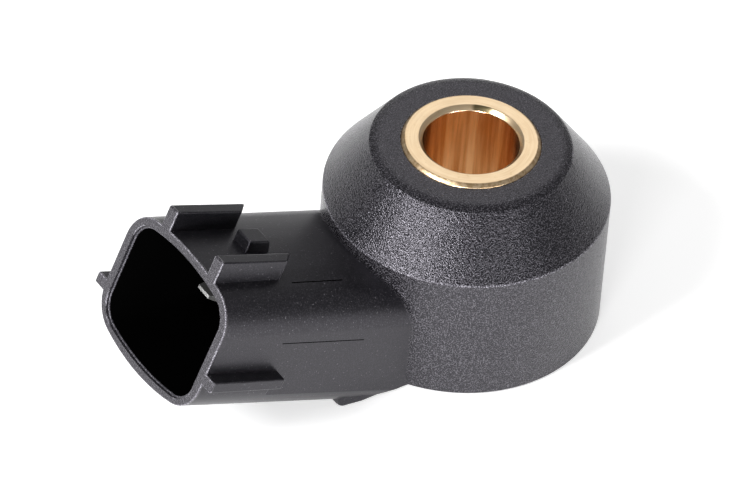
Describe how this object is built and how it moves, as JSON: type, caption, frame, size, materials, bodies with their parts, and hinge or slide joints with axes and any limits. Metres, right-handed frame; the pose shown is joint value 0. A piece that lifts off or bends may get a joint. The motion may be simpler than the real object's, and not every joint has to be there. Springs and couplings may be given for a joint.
{
  "type": "engine knock sensor",
  "caption": "Ring-shaped engine knock sensor: a brass bolt sleeve in a black plastic body, with an upward-tilted, rib-coded plug socket on its side.",
  "frame": {"origin": "centre of the bolt hole on the sensor's mounting face", "axes": "+Z along the bolt hole towards the bolt's head; the plug socket points to -X and rises 23 degrees"},
  "size_m": [0.0467, 0.0258, 0.0201],
  "materials": {
    "black_moulding": "black glass-filled nylon, finely grained, satin",
    "turned_brass": "fine turned brass with bright edge bevels and a darker drawn bore",
    "insulator": "natural amber insulating film",
    "contact_sheet": "rolled contact brass sheet",
    "piezo_ceramic": null,
    "steel": "turned steel",
    "spring_steel": "blued spring steel",
    "tinned_terminal": "bright tin plating on copper alloy",
    "resistor_glaze": "plain glazed ceramic barrel"
  },
  "bodies": {
    "root": {"housing": "black_moulding", "brass_sleeve": "turned_brass", "insulating_tube": "insulator", "lower_insulator_ring": "insulator", "lower_contact_ring": "contact_sheet", "piezo_ring": "piezo_ceramic", "upper_contact_ring": "contact_sheet", "upper_insulator_ring": "insulator", "seismic_mass": "steel", "spring_washer": "spring_steel", "clamp_nut": "steel", "signal_terminal": "tinned_terminal", "return_terminal": "tinned_terminal", "resistor_body": "resistor_glaze", "resistor_signal_lead": "tinned_terminal", "resistor_return_lead": "tinned_terminal"}
  },
  "joints": []
}
